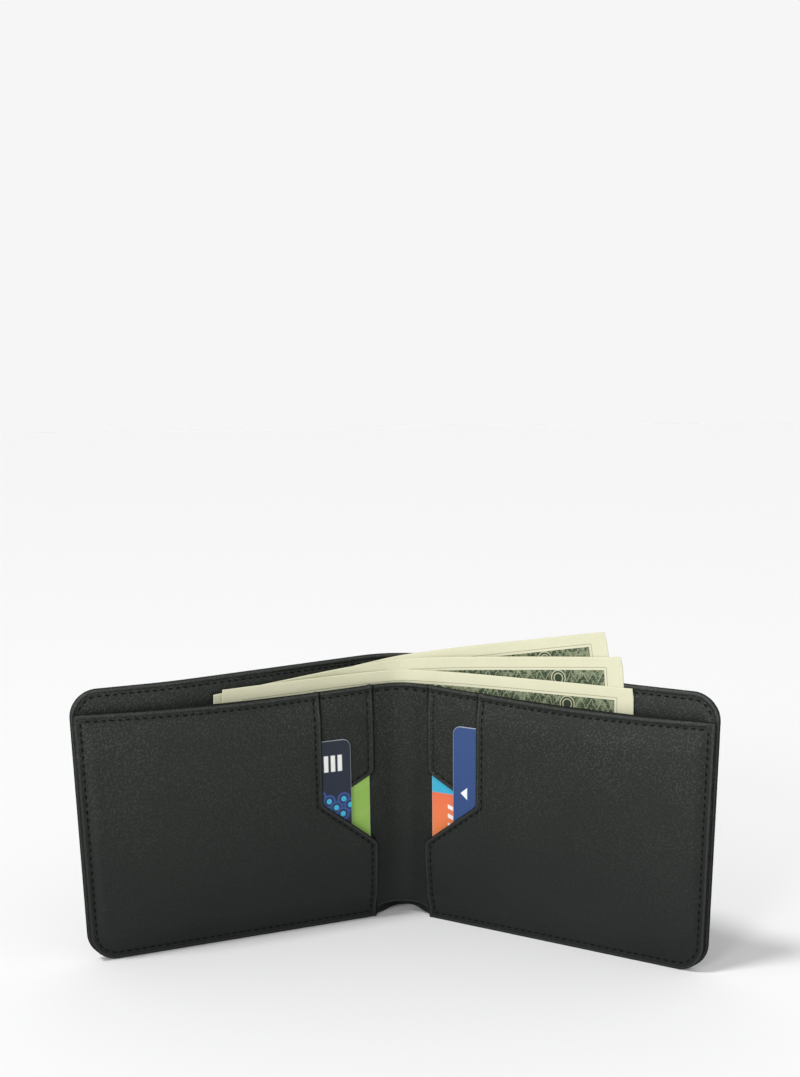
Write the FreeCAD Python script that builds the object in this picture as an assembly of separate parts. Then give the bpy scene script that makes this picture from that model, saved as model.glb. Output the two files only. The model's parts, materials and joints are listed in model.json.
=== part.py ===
"""Bifold wallet standing open in a V, with four cards and three banknotes.

Millimetres. +X runs across the wallet, +Y towards its spine (the back of the V), +Z up.
The origin is on the floor under the middle of the wallet's box.

Each half is drawn once, as the right-hand half, in panel coordinates:
  t  distance outwards from the crease beside the spine,
  d  depth behind the front face of the divider (negative is towards the reader),
  z  height.
"""
import FreeCAD, Part
import math
import os

Vector = FreeCAD.Vector

# ---- driving dimensions -------------------------------------------------------------
FOLD_DEG = 27.0             # how far each half leans forward of flat
SPINE_WIDTH = 19.0          # between the front pockets, at their front faces
PANEL_LENGTH = 111.0        # crease to the outer side edge
SHELL_HEIGHT = 99.6
DIVIDER_HEIGHT = 91.5
CORNER_RADIUS = 10.0
FLEX_REACH = 6.5            # flat part of the divider inside the crease, up to the fold axis

CARD_LENGTH, CARD_HEIGHT, CARD_THICK, CARD_RADIUS = 85.6, 53.98, 0.76, 3.18
NOTE_LENGTH, NOTE_HEIGHT, NOTE_THICK = 156.0, 66.3, 0.12

POCKET_THICK = 0.6
CARD_GAP = 0.9              # room for one card between two layers
DIVIDER_THICK = 0.6
DIVIDER_LINING = 0.3
BILL_GAP = 0.7              # narrowest part of the bill compartment
SHELL_LINING = 0.25
SHELL_THICK = 0.85
SEAM_RIM = 4.5              # width of the sewn border
SIDE_INSET = 0.6            # inner layers stop this far inside the shell's side edge
TURNED_TOP = 6.0            # leather turned over the lining at the shell's top edge
LINING_LIFT = 0.6           # linings stay this far off the floor

GAPE_LENGTH = 75.0          # the shell leans away from the divider inside this t
GAPE_TOP = 13.0             # lean at the crease, at the top edge
U_DEPTH = 16.2              # outer face of the shell's spine behind the origin line, at the floor
TOP_DEPTH = 23.0            # the same at the top edge
ARCH_HEIGHT = 4.0           # arch cut in the foot of the divider's spine

FRONT_NOTCH_LOW, FRONT_NOTCH_HIGH, NOTCH_REACH = 31.6, 48.5, 21.0
REAR_NOTCH_TOP, REAR_NOTCH_LOW, REAR_EDGE = 58.2, 47.3, 0.6

THREAD_WIDTH = 0.5
THREAD_PROUD = 0.25
BURIED_PROUD = 0.05         # the rear pocket's thread lies under a card
EDGE_TO_THREAD = 2.3
HEM_TO_THREAD = 2.5
SIDE_TO_THREAD = 3.0
JOINT_GAP = 0.15            # between a half's layer and the same layer in the spine

# card corner nearest the spine at the foot: t, z
FRONT_CARD_AT = {"left": (9.5, 18.6), "right": (11.1, 23.9)}
REAR_CARD_AT = {"left": (1.6, 18.0), "right": (1.2, 18.0)}

# banknotes: name, layer depth, right end t, height of the left foot corner, tilt in degrees
NOTES = [
    ("front", 1.00, 77.9, 28.5, 1.3),
    ("middle", 1.20, 74.0, 27.4, 5.65),
    ("rear", 1.40, 68.2, 22.7, 10.7),
]

# ---- worked-out sizes ---------------------------------------------------------------
FOLD = math.radians(FOLD_DEG)
COS, SIN = math.cos(FOLD), math.sin(FOLD)
REAR_POCKET_FRONT = -(CARD_GAP + POCKET_THICK)
FRONT_POCKET_FRONT = REAR_POCKET_FRONT - CARD_GAP - POCKET_THICK
DIVIDER_BACK = DIVIDER_THICK + DIVIDER_LINING
LINING_FRONT = DIVIDER_BACK + BILL_GAP
SHELL_FRONT = LINING_FRONT + SHELL_LINING
SHELL_BACK = SHELL_FRONT + SHELL_THICK

CREASE_X = SPINE_WIDTH / 2 - FRONT_POCKET_FRONT * SIN
FRONT_MOST = -(PANEL_LENGTH - SIDE_INSET) * SIN
CENTRE_SHIFT = -(FRONT_MOST + TOP_DEPTH) / 2
CREASE_Y = CENTRE_SHIFT - FRONT_POCKET_FRONT * COS

AXIS_X = CREASE_X - FLEX_REACH * COS
AXIS_Y = CREASE_Y + FLEX_REACH * SIN
SPINE_RADIUS = AXIS_X / SIN
SPINE_CENTRE_Y = AXIS_Y - SPINE_RADIUS * COS


# ---- helpers ------------------------------------------------------------------------
def place(shape, side):
    """Put a shape drawn in panel coordinates onto one half of the wallet."""
    placed = shape.copy()
    placed.rotate(Vector(0, 0, 0), Vector(0, 0, 1), -FOLD_DEG)
    placed.translate(Vector(CREASE_X, CREASE_Y, 0))
    if side == "left":
        placed = placed.mirror(Vector(0, 0, 0), Vector(1, 0, 0))
    return placed


def world(t, d):
    """Plan position of a panel point on the right-hand half."""
    return CREASE_X + t * COS + d * SIN, CREASE_Y - t * SIN + d * COS


def slab(outline, front, back):
    """Extrude a (t, z) polygon from depth front to depth back."""
    points = [Vector(t, front, z) for t, z in outline]
    face = Part.Face(Part.makePolygon(points + points[:1]))
    return face.extrude(Vector(0, back - front, 0))


def rounded_prism(t0, t1, z0, z1, radius, front, back, corners):
    """A box in t, d, z whose listed corners are rounded, seen square on to the panel."""
    prism = Part.makeBox(t1 - t0, back - front, z1 - z0, Vector(t0, front, z0))
    edges = []
    for edge in prism.Edges:
        middle = edge.CenterOfMass
        if abs(middle.y - (front + back) / 2) > 1e-6:
            continue
        name = ("outer" if middle.x > (t0 + t1) / 2 else "inner",
                "top" if middle.z > (z0 + z1) / 2 else "foot")
        if name in corners:
            edges.append(edge)
    return prism.makeFillet(radius, edges)


def panel_trim(inset):
    """The rounded outline that every layer of a half is cut to."""
    corners = [("outer", "top"), ("outer", "foot")]
    return rounded_prism(-60, PANEL_LENGTH - inset, 0, SHELL_HEIGHT, CORNER_RADIUS - inset,
                         -30, 40, corners)


def strip(points, width, front, back):
    """A flat bar of the given width along a (t, z) polyline."""
    bar = None
    for (t0, z0), (t1, z1) in zip(points, points[1:]):
        run = math.hypot(t1 - t0, z1 - z0)
        nt, nz = -(z1 - z0) / run * width / 2, (t1 - t0) / run * width / 2
        et, ez = (t1 - t0) / run * width / 2, (z1 - z0) / run * width / 2
        corners = [(t0 - et + nt, z0 - ez + nz), (t1 + et + nt, z1 + ez + nz),
                   (t1 + et - nt, z1 + ez - nz), (t0 - et - nt, z0 - ez - nz)]
        piece = slab(corners, front, back)
        bar = piece if bar is None else bar.fuse(piece)
    return bar.removeSplitter()


def solid(shape):
    """The one solid of a boolean result."""
    clean = shape.removeSplitter()
    return clean.Solids[0] if len(clean.Solids) == 1 else clean


def save(shape, node):
    assert shape.isValid(), node
    shape.exportStep("parts/" + node + ".step")
    print("%-28s solids %d  volume %.2f" % (node, len(shape.Solids), shape.Volume))


# ---- one half -----------------------------------------------------------------------
def lean(t, z):
    """How far the shell leans back from the divider at a panel point."""
    return GAPE_TOP * max(0.0, 1 - t / GAPE_LENGTH) * z / SHELL_HEIGHT


def leaning_sheet(front, back, t_end, z0, z1):
    """A twisted sheet against the divider at its foot and leaning back at its top."""
    sections = []
    for z in (z0, z1):
        shift = lean(0, z)
        corners = [(0, front + shift), (GAPE_LENGTH, front), (GAPE_LENGTH, back), (0, back + shift)]
        points = [Vector(t, d, z) for t, d in corners]
        sections.append(Part.makePolygon(points + points[:1]))
    twisted = Part.makeLoft(sections, True, True)
    flat = Part.makeBox(t_end - GAPE_LENGTH, back - front, z1 - z0, Vector(GAPE_LENGTH, front, z0))
    return twisted.fuse(flat)


def border(front, back, t_inner, t_outer, width):
    """The sewn border along the foot and the outer side."""
    foot = Part.makeBox(t_outer - t_inner, back - front, width, Vector(t_inner, front, 0))
    side = Part.makeBox(width, back - front, DIVIDER_HEIGHT, Vector(t_outer - width, front, 0))
    return foot.fuse(side)


def make_shell():
    sheet = leaning_sheet(SHELL_FRONT, SHELL_BACK, PANEL_LENGTH, 0, SHELL_HEIGHT)
    rim_back = SHELL_FRONT + SHELL_THICK * 0.82
    rim = border(DIVIDER_BACK, rim_back, 0.5, PANEL_LENGTH, SEAM_RIM)
    return solid(sheet.fuse(rim).common(panel_trim(0)))


def make_shell_lining():
    t_end = PANEL_LENGTH - SEAM_RIM
    return leaning_sheet(LINING_FRONT, SHELL_FRONT, t_end, SEAM_RIM, SHELL_HEIGHT - TURNED_TOP)


def inner_layer(front, back, z_foot=0.0):
    t0 = -FLEX_REACH + JOINT_GAP
    outline = [(t0, z_foot), (PANEL_LENGTH, z_foot), (PANEL_LENGTH, DIVIDER_HEIGHT),
               (t0, DIVIDER_HEIGHT)]
    # the foot is arched between the crease and the spine
    arch = slab([(t0 - 1, -1), (-1.0, -1), (t0 - 1, ARCH_HEIGHT)], front - 1, back + 1)
    return solid(slab(outline, front, back).common(panel_trim(SIDE_INSET)).cut(arch))


def make_pocket(edge, front, gap):
    """A pocket leaf whose spine edge follows the given points, sewn at foot, side and top."""
    outline = edge + [(PANEL_LENGTH, DIVIDER_HEIGHT), (PANEL_LENGTH, 0)]
    leaf = slab(outline, front, front + POCKET_THICK)
    t_foot = edge[0][0]
    rim_back = front + POCKET_THICK + gap
    t_outer = PANEL_LENGTH - SIDE_INSET
    rim = border(front, rim_back, t_foot, t_outer, SEAM_RIM)
    t_top = edge[-1][0]
    hem = Part.makeBox(t_outer - t_top, rim_back - front, SEAM_RIM,
                       Vector(t_top, front, DIVIDER_HEIGHT - SEAM_RIM))
    return solid(leaf.fuse(rim).fuse(hem).common(panel_trim(SIDE_INSET)))


FRONT_EDGE = [(0, 0), (0, FRONT_NOTCH_LOW), (NOTCH_REACH, FRONT_NOTCH_HIGH),
              (NOTCH_REACH, DIVIDER_HEIGHT)]
REAR_EDGE_LINE = [(NOTCH_REACH, 0), (NOTCH_REACH, REAR_NOTCH_LOW), (REAR_EDGE, REAR_NOTCH_TOP),
                  (REAR_EDGE, DIVIDER_HEIGHT)]
HEM_Z = DIVIDER_HEIGHT - HEM_TO_THREAD


def make_perimeter_thread():
    inner_radius = CORNER_RADIUS - SIDE_TO_THREAD
    t_side = PANEL_LENGTH - SIDE_TO_THREAD
    front, back = FRONT_POCKET_FRONT - THREAD_PROUD, FRONT_POCKET_FRONT
    corner = [("outer", "foot")]
    half = THREAD_WIDTH / 2
    outside = rounded_prism(2, t_side + half, SIDE_TO_THREAD - 0.6 - half, HEM_Z, inner_radius,
                            front, back, corner)
    inside = rounded_prism(-9, t_side - half, SIDE_TO_THREAD - 0.6 + half, HEM_Z + 9,
                           inner_radius - THREAD_WIDTH, front - 1, back + 1, corner)
    return solid(outside.cut(inside))


def make_hem_thread():
    spans = [(NOTCH_REACH + 0.4, PANEL_LENGTH - SIDE_TO_THREAD - 1.0, FRONT_POCKET_FRONT),
             (REAR_EDGE + 0.4, NOTCH_REACH - 0.4, REAR_POCKET_FRONT),
             (-FLEX_REACH + 0.4, REAR_EDGE - 0.4, 0.0)]
    bars = [strip([(t0, HEM_Z), (t1, HEM_Z)], THREAD_WIDTH, face - THREAD_PROUD, face)
            for t0, t1, face in spans]
    return Part.makeCompound(bars)


def make_rim_thread():
    """Along the shell's top edge, on its turned inner face, where it doesn't lean."""
    z = SHELL_HEIGHT - SIDE_TO_THREAD
    ends = (1.0, GAPE_LENGTH)
    points = []
    for t in ends:
        d = SHELL_FRONT + lean(t, z)
        points.append(Vector(t, d, z))
    run = points[1] - points[0]
    across = Vector(-run.y, run.x, 0).normalize() * -THREAD_PROUD
    corners = [points[0], points[1], points[1] + across, points[0] + across]
    face = Part.Face(Part.makePolygon(corners + corners[:1]))
    leaning = face.extrude(Vector(0, 0, THREAD_WIDTH))
    flat = strip([(GAPE_LENGTH + 0.5, z), (PANEL_LENGTH - CORNER_RADIUS, z)], THREAD_WIDTH,
                 SHELL_FRONT - THREAD_PROUD, SHELL_FRONT)
    return Part.makeCompound([leaning, flat])


def make_front_pocket_thread():
    run = NOTCH_REACH
    shift = EDGE_TO_THREAD * (FRONT_NOTCH_HIGH - FRONT_NOTCH_LOW) / run
    points = [(EDGE_TO_THREAD, 4.0), (EDGE_TO_THREAD, FRONT_NOTCH_LOW - shift / 2),
              (run + EDGE_TO_THREAD, FRONT_NOTCH_HIGH - shift / 2),
              (run + EDGE_TO_THREAD, HEM_Z - 1.0)]
    return strip(points, THREAD_WIDTH, FRONT_POCKET_FRONT - THREAD_PROUD, FRONT_POCKET_FRONT)


def make_rear_pocket_thread():
    points = [(REAR_EDGE + EDGE_TO_THREAD, HEM_Z - 1.0),
              (REAR_EDGE + EDGE_TO_THREAD, REAR_NOTCH_TOP + 1.6),
              (NOTCH_REACH - 0.6, REAR_NOTCH_LOW + 3.2)]
    return strip(points, THREAD_WIDTH, REAR_POCKET_FRONT - BURIED_PROUD, REAR_POCKET_FRONT)


def make_card(corner, front):
    t0, z0 = corner
    every = [(a, b) for a in ("outer", "inner") for b in ("top", "foot")]
    return rounded_prism(t0, t0 + CARD_LENGTH, z0, z0 + CARD_HEIGHT, CARD_RADIUS,
                         front, front + CARD_THICK, every)


def make_half(side):
    card_play = (CARD_GAP - CARD_THICK) / 2
    layers = {
        "shell": make_shell(),
        "shell_lining": make_shell_lining(),
        "divider": inner_layer(0, DIVIDER_THICK),
        "divider_lining": inner_layer(DIVIDER_THICK, DIVIDER_BACK, LINING_LIFT),
        "rear_pocket": make_pocket(REAR_EDGE_LINE, REAR_POCKET_FRONT, CARD_GAP),
        "front_pocket": make_pocket(FRONT_EDGE, FRONT_POCKET_FRONT, CARD_GAP),
        "perimeter_thread": make_perimeter_thread(),
        "hem_thread": make_hem_thread(),
        "rim_thread": make_rim_thread(),
        "front_pocket_thread": make_front_pocket_thread(),
        "rear_pocket_thread": make_rear_pocket_thread(),
        "front_card": make_card(FRONT_CARD_AT[side],
                                FRONT_POCKET_FRONT + POCKET_THICK + card_play),
        "rear_card": make_card(REAR_CARD_AT[side], REAR_POCKET_FRONT + POCKET_THICK + card_play),
    }
    for name, shape in layers.items():
        save(place(shape, side), name + "_" + side)


# ---- the spine ----------------------------------------------------------------------
def arc_band(x_end, y_end, y_apex, x_end_out, y_end_out, y_apex_out, z):
    """A closed curved strip between two arcs, at one height."""
    def level(x, y):
        return Vector(x, y, z)
    inner = Part.Arc(level(-x_end, y_end), level(0, y_apex), level(x_end, y_end)).toShape()
    outer = Part.Arc(level(x_end_out, y_end_out), level(0, y_apex_out),
                     level(-x_end_out, y_end_out)).toShape()
    right = Part.makeLine(level(x_end, y_end), level(x_end_out, y_end_out))
    left = Part.makeLine(level(-x_end_out, y_end_out), level(-x_end, y_end))
    return Part.Wire([inner, right, outer, left])


def shell_spine_sheet(front, back, z0, z1):
    """The shell's curved back: a U at the floor that opens into a shallow arc at the top."""
    sections = []
    for z in (z0, z1):
        shift = lean(0, z)
        apex_back = CENTRE_SHIFT + U_DEPTH + (TOP_DEPTH - U_DEPTH) * z / SHELL_HEIGHT
        apex = [apex_back - (SHELL_BACK - d) for d in (front, back)]
        (x0, y0), (x1, y1) = world(-JOINT_GAP, front + shift), world(-JOINT_GAP, back + shift)
        sections.append(arc_band(x0, y0, apex[0], x1, y1, apex[1], z))
    return Part.makeLoft(sections, True, True)


def divider_band(front, back, z0, z1):
    """A layer of the divider where it bends round the spine, concentric with the fold arc."""
    def point(radius, turn, z):
        return Vector(radius * math.sin(turn), SPINE_CENTRE_Y + radius * math.cos(turn), z)
    end = FOLD - JOINT_GAP / SPINE_RADIUS
    radii = (SPINE_RADIUS + front, SPINE_RADIUS + back)
    arcs = [Part.Arc(point(r, -end, z0), point(r, 0, z0), point(r, end, z0)).toShape()
            for r in radii]
    ends = [Part.makeLine(point(radii[0], turn, z0), point(radii[1], turn, z0))
            for turn in (-end, end)]
    wire = Part.Wire(Part.__sortEdges__(arcs + ends))
    return Part.Face(wire).extrude(Vector(0, 0, z1 - z0))


def make_spine():
    save(shell_spine_sheet(SHELL_FRONT, SHELL_BACK, 0, SHELL_HEIGHT), "shell_spine")
    save(shell_spine_sheet(LINING_FRONT, SHELL_FRONT, LINING_LIFT, SHELL_HEIGHT - TURNED_TOP),
         "shell_lining_spine")
    save(divider_band(0, DIVIDER_THICK, ARCH_HEIGHT, DIVIDER_HEIGHT), "divider_spine")
    save(divider_band(DIVIDER_THICK, DIVIDER_BACK, ARCH_HEIGHT, DIVIDER_HEIGHT),
         "divider_lining_spine")
    half = THREAD_WIDTH / 2
    save(divider_band(-THREAD_PROUD, 0, HEM_Z - half, HEM_Z + half), "hem_thread_spine")
    rim_z = SHELL_HEIGHT - SIDE_TO_THREAD
    save(shell_spine_sheet(SHELL_FRONT - THREAD_PROUD, SHELL_FRONT, rim_z, rim_z + THREAD_WIDTH),
         "rim_thread_spine")


# ---- banknotes ----------------------------------------------------------------------
def note_line(s, s_left, z_left, tilt, up):
    """Height of a note's foot (up=0) or top (up=note height) edge at arc position s."""
    s0 = s_left - up * math.sin(tilt)
    z0 = z_left + up * math.cos(tilt)
    return z0 + (s - s0) * math.tan(tilt)


def note_outline(s_left, z_left, tilt):
    """The four corners of a tilted note in (s, z), from the left foot, anticlockwise."""
    along = (math.cos(tilt), math.sin(tilt))
    up = (-math.sin(tilt), math.cos(tilt))
    corners = []
    for length, height in ((0, 0), (NOTE_LENGTH, 0), (NOTE_LENGTH, NOTE_HEIGHT), (0, NOTE_HEIGHT)):
        corners.append((s_left + length * along[0] + height * up[0],
                        z_left + length * along[1] + height * up[1]))
    return corners


def make_note(name, layer, t_right, z_left, tilt_deg):
    tilt = math.radians(tilt_deg)
    bend = (SPINE_RADIUS + layer) * FOLD            # half the bent length in the spine
    s_right_top = bend + FLEX_REACH + t_right
    s_left = s_right_top + NOTE_HEIGHT * math.sin(tilt) - NOTE_LENGTH * math.cos(tilt)
    corners = note_outline(s_left, z_left, tilt)
    far = 200

    flat = slab(corners, layer, layer + NOTE_THICK)
    # right of the bend: s = bend + FLEX_REACH + t
    right = flat.copy()
    right.translate(Vector(-bend - FLEX_REACH, 0, 0))
    right = right.common(slab([(-FLEX_REACH, -far), (far, -far), (far, far), (-FLEX_REACH, far)],
                              0, 20))
    save(place(right, "right"), "note_" + name + "_right")
    # left of the bend: the same outline seen from the other side
    mirrored = [(-s - bend - FLEX_REACH, z) for s, z in corners]
    left = slab(mirrored[::-1], layer, layer + NOTE_THICK)
    left = left.common(slab([(-FLEX_REACH, -far), (far, -far), (far, far), (-FLEX_REACH, far)],
                            0, 20))
    save(place(left, "left"), "note_" + name + "_left")

    ends = [[note_line(s, s_left, z_left, tilt, up) for s in (-bend, bend)]
            for up in (0, NOTE_HEIGHT)]
    band = divider_band(layer, layer + NOTE_THICK, 0, 150)
    reach = (SPINE_RADIUS + layer) * SIN
    foot, top = ends
    wall = [Vector(-reach * 2, 0, foot[0] - (foot[1] - foot[0]) / 2),
            Vector(reach * 2, 0, foot[1] + (foot[1] - foot[0]) / 2),
            Vector(reach * 2, 0, top[1] + (top[1] - top[0]) / 2),
            Vector(-reach * 2, 0, top[0] - (top[1] - top[0]) / 2)]
    prism = Part.Face(Part.makePolygon(wall + wall[:1])).extrude(Vector(0, 60, 0))
    save(solid(band.common(prism)), "note_" + name + "_mid")
    lowest = min(z for s, z in corners)
    highest = max(z for s, z in corners)
    print("  note %s: s %.1f to %.1f, z %.1f to %.1f" % (name, corners[0][0], corners[1][0],
                                                       lowest, highest))


os.makedirs("parts", exist_ok=True)
for half_name in ("left", "right"):
    make_half(half_name)
make_spine()
for note in NOTES:
    make_note(*note)
print("fold axes at x %.4f, y %.4f; crease %.4f, %.4f" % (AXIS_X, AXIS_Y, CREASE_X, CREASE_Y))
print("mount point", world(95.0, (DIVIDER_BACK + SHELL_BACK) / 2), "centre shift", CENTRE_SHIFT)
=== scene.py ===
"""Bifold wallet standing open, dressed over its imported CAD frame.

Lengths are millimetres until they reach a mesh, which is in metres. The wallet is drawn once, as
its right-hand half, and mirrored for the left:
  s  distance outwards along the leather from the middle of the spine,
  d  depth behind the front face of the divider (negative is towards the reader),
  z  height.
"""
import json
import math
import random
from functools import partialmethod, reduce

import bmesh
import bpy
import numpy as np
from mathutils import Matrix, Vector


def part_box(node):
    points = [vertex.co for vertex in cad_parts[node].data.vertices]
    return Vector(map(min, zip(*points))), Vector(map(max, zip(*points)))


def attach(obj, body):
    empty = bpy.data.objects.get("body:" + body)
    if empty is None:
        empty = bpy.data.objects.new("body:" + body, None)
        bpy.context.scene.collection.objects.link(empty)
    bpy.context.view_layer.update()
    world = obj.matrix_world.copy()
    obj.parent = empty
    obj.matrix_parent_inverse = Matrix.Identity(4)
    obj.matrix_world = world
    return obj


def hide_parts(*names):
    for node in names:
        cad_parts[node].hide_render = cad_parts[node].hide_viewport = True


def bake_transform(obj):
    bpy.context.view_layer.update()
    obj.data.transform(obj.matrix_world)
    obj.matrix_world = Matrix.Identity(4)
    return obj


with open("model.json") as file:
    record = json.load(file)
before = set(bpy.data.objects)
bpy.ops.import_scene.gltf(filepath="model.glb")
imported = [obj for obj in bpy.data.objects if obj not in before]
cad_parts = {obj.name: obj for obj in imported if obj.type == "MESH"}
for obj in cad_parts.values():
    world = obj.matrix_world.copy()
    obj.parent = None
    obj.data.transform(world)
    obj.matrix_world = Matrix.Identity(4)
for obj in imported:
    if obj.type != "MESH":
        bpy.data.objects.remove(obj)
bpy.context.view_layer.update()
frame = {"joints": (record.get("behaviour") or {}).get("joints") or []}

MM = 0.001
SIDES = ("left", "right")
SIGN = {"left": -1, "right": 1}
NOTE_NAMES = ("front", "middle", "rear")
STEP = 1.4     # spacing of a sheet's plain rows and columns


# ---- sizes ----
def top_of(node):
    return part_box(node)[1].z / MM


RIGHT_FOLD = next(joint for joint in frame["joints"] if joint["name"] == "right_fold")
AXIS_X, AXIS_Y = (v / MM for v in RIGHT_FOLD["pos_m"][:2])
SHELL_TOP = top_of("shell_right")
DIVIDER_TOP = top_of("divider_right")
LINING_TOP = top_of("shell_lining_right")
SPINE_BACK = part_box("shell_spine")[1].y / MM

FOLD = math.radians(27.0)
COS, SIN = math.cos(FOLD), math.sin(FOLD)
FLEX_REACH = 6.5                # flat leather between the fold axis and the crease
PANEL_LENGTH = 111.0            # crease to the outer side edge
INNER_LENGTH = 110.4            # the same for the layers inside the shell
CORNER_RADIUS = 10.0
SPINE_R = AXIS_X / SIN
SPINE_Y = AXIS_Y - SPINE_R * COS
BEND = SPINE_R * FOLD           # leather from the middle of the spine to the fold axis
CREASE = BEND + FLEX_REACH      # the s of t = 0
SIDE_EDGE = CREASE + INNER_LENGTH

POCKET_THICK, DIVIDER_THICK = 0.6, 0.6
FRONT_POCKET, REAR_POCKET = -3.0, -1.5
SHELL_LINING, SHELL_FRONT, SHELL_BACK = 1.6, 1.85, 2.7
SEWN_SHELL_FRONT = 0.95         # the shell's turned edge, where it meets the divider's lining
SEWN_REAR, SEWN_FRONT = -0.66, -1.32
SHELL_FACING = 0.34             # leather strip turned in along the shell's top
EDGE_BEAD = 0.34                # height of a rolled edge
SHELL_GROOVE = 0.18             # depth of the seam grooves in the shell
LINING_FOOT = 4.8
CARD_SIZE, CARD_THICK, CARD_RADIUS = (85.6, 53.98), 0.76, 3.18
CARD_PLAY = 0.07                # clearance before a card

GAPE_LENGTH, GAPE_TOP = 75.0, 13.0
APEX_RISE = 6.8                 # the shell's spine stands this much further back at its top
SHELL_CREASE = 19.0             # the s where the shell's spine curve meets its flat half
SHELL_SIDE = SHELL_CREASE + PANEL_LENGTH
ARCH_HEIGHT, ARCH_REACH, ARCH_FADE = 4.1, 10.8, 22.0
BACK_SEAM_SHIFT = SHELL_CREASE - CREASE + 0.6   # from the inner seam to the shell's

NOTCH_FOOT, NOTCH_LOW, NOTCH_HIGH, NOTCH_REACH = 3.2, 31.6, 48.5, 21.0
REAR_TOP, REAR_LOW = 58.2, 47.3
REAR_START, NOTCH_END = CREASE - 0.2, CREASE + NOTCH_REACH    # edges of the two pocket leaves
NOTCH_ROUND = 1.2               # the cut corners of a pocket's edge are eased by this

PITCH = 2.8
EDGE_TO_SEAM, HEM_TO_SEAM = 2.3, 2.5
SIDE_TO_SEAM, FOOT_TO_SEAM = 2.4, 2.4
HEM_Z = DIVIDER_TOP - HEM_TO_SEAM
RIM_TO_SEAM = 2.7
RIM_Z = SHELL_TOP - RIM_TO_SEAM

NOTE_SIZE, NOTE_THICK = (156.0, 66.3), 0.12
# soft ends of the paper, drawn out past the nominal length: left end, right end
NOTE_REACH = {"front": (3.2, 2.2), "middle": (3.5, 1.3), "rear": (0.3, 0.3)}
# depth, right end beyond the crease, height of the left foot corner, tilt
NOTES = {
    "front": (1.00, 77.9, 28.5, math.radians(1.3)),
    "middle": (1.20, 74.0, 27.4, math.radians(5.65)),
    "rear": (1.40, 68.2, 22.7, math.radians(10.7)),
}
PRINT_SHIFT = 1.9               # the print keeps its distance from the drawn-out right end
# how a note springs back from the divider: the heights where it starts and is full, how far it
# would go, and how much of the room it may take; set so that a note pushed down clears the next
NOTE_SPRING = {
    "front": (76.5, 102.0, 3.2, 0.96),
    "middle": (52.0, 81.0, 4.2, 1.15),
    "rear": (29.5, 57.0, 5.4, 1.36),
}
# the corner nearest the spine at the foot: t, z
CARDS = {
    ("front", "left"): (9.5, 18.6),
    ("front", "right"): (11.1, 23.9),
    ("rear", "left"): (1.6, 18.0),
    ("rear", "right"): (1.2, 18.0),
}


# ---- curves the layers follow ----
def smooth(x, low, high):
    u = np.clip((np.asarray(x, float) - low) / (high - low), 0, 1)
    return u * u * (3 - 2 * u)


def bell(x, middle, width):
    """A smooth bump of height 1."""
    return np.exp(-((x - middle) / width) ** 2)


def on_divider(s, d, z):
    """Right-hand place of a point of the divider, its pockets, the cards and the notes."""
    turn = np.minimum(s / SPINE_R, FOLD)
    out = np.maximum(s - BEND, 0.0)
    x = (SPINE_R + d) * np.sin(turn) + out * COS
    y = SPINE_Y + (SPINE_R + d) * np.cos(turn) - out * SIN
    return np.stack(np.broadcast_arrays(x, y, z), -1)


def settled(side):
    """The divider and its pockets on one half, whose top edge sags a little between its ends."""
    deep, reach = (1.2, 108.0) if side == "left" else (2.0, 140.0)

    def place(s, d, z):
        t = np.clip(s - CREASE, 0, reach)
        share = smooth(z, 25.0, DIVIDER_TOP)
        return on_divider(s, d, z - deep * np.sin(math.pi * t / reach) * share)
    return place


def lean(t, z):
    """How far the shell stands back from the divider beyond the gap at its foot."""
    q = 1 - t / GAPE_LENGTH
    eased = 0.5 * (q + np.sqrt(q * q + 0.006))
    return GAPE_TOP * eased * z / SHELL_TOP


def on_shell(s, d, z):
    """Right-hand place of a point of the shell or its lining: a flat half, then a curved spine."""
    t = s - SHELL_CREASE
    depth = d + lean(np.maximum(t, 0), z)
    crease_x, crease_y = AXIS_X + FLEX_REACH * COS, AXIS_Y - FLEX_REACH * SIN
    flat_x = crease_x + t * COS + depth * SIN
    flat_y = crease_y - t * SIN + depth * COS
    height = z / SHELL_TOP
    apex_y = SPINE_BACK - APEX_RISE * (1 - height) - (SHELL_BACK - d)
    end_x, end_y = crease_x + depth * SIN, crease_y + depth * COS
    slope = -GAPE_TOP / GAPE_LENGTH * height
    along_x, along_y = COS + slope * SIN, -SIN + slope * COS
    pull = 1.22 * np.hypot(end_x, apex_y - end_y)
    v = np.clip(s / SHELL_CREASE, 0, 1)
    h00, h10 = 2 * v**3 - 3 * v**2 + 1, v**3 - 2 * v**2 + v
    h01, h11 = -2 * v**3 + 3 * v**2, v**3 - v**2
    curve_x = h10 * pull + h01 * end_x + h11 * pull * along_x
    curve_y = h00 * apex_y + h01 * end_y + h11 * pull * along_y
    x, y = np.where(t > 0, flat_x, curve_x), np.where(t > 0, flat_y, curve_y)
    return np.stack(np.broadcast_arrays(x, y, z), -1)


# ---- seams: polylines in (s, z) ----
def arc(cx, cz, radius, a0, a1):
    turns = np.radians(np.linspace(a0, a1, 10))
    return [(cx + radius * math.cos(a), cz + radius * math.sin(a)) for a in turns]


def perimeter_seam():
    side = SIDE_EDGE - SIDE_TO_SEAM
    radius = CORNER_RADIUS - SIDE_TO_SEAM
    return ([(CREASE + 2.0, FOOT_TO_SEAM)]
            + arc(side - radius, FOOT_TO_SEAM + radius, radius, -90, 0) + [(side, HEM_Z)])


def hem_run(start, end):
    return [(start, HEM_Z), (end, HEM_Z)]


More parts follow.
